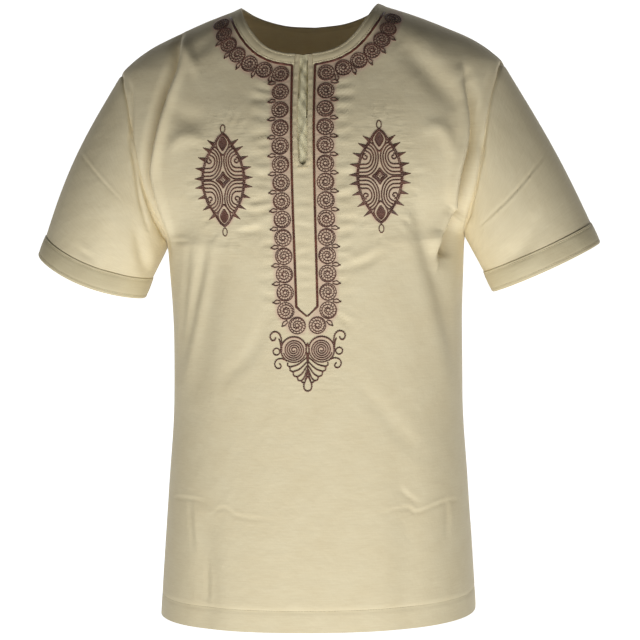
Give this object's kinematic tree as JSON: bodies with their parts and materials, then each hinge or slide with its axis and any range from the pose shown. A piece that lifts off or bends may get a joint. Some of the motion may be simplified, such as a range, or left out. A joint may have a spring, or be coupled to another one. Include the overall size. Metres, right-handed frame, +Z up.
{
  "type": "embroidered short-sleeved tunic shirt, filled out as worn",
  "caption": "Pullover tunic shirt with a slit neck, short cuffed sleeves, side vents and raised chain embroidery; hollow, held by the shoulders of a wearer.",
  "frame": {"origin": "midway between the neck ends of the two shoulder seams, where the wearer's shoulders hold the shirt", "axes": "+Z up along the body, -Y out of the front, +X to the wearer's left"},
  "size_m": [0.6804, 0.2633, 0.7382],
  "materials": {
    "front_cloth": "satin-woven cotton, cream beige, soft sheen",
    "back_cloth": "satin-woven cotton, cream beige, soft sheen",
    "left_sleeve_cloth": "satin-woven cotton, cream beige",
    "right_sleeve_cloth": "satin-woven cotton, cream beige",
    "left_cuff_cloth": "satin-woven cotton, doubled and topstitched",
    "right_cuff_cloth": "satin-woven cotton, doubled and topstitched",
    "band_cloth": "satin-woven cotton band",
    "binding_cloth": "satin-woven cotton, folded",
    "facing_cloth": "thin cotton, grey-green and matt",
    "brown_thread": "twisted rayon thread, dark brown",
    "russet_thread": "twisted rayon thread, reddish brown"
  },
  "bodies": {
    "root": {"front_panel": "front_cloth", "back_panel": "back_cloth", "sleeve_left": "left_sleeve_cloth", "sleeve_right": "right_sleeve_cloth", "cuff_band_left": "left_cuff_cloth", "cuff_band_right": "right_cuff_cloth", "neck_band_left": "band_cloth", "neck_band_right": "band_cloth", "neck_band_back": "band_cloth", "slit_binding_left": "binding_cloth", "slit_binding_right": "binding_cloth", "slit_facing": "facing_cloth", "rosette_chain_left": "brown_thread", "rosette_chain_right": "brown_thread", "medallion_left": "brown_thread", "medallion_right": "brown_thread", "heart_motif": "brown_thread", "satin_line_left": "russet_thread", "satin_line_right": "russet_thread"}
  },
  "joints": []
}
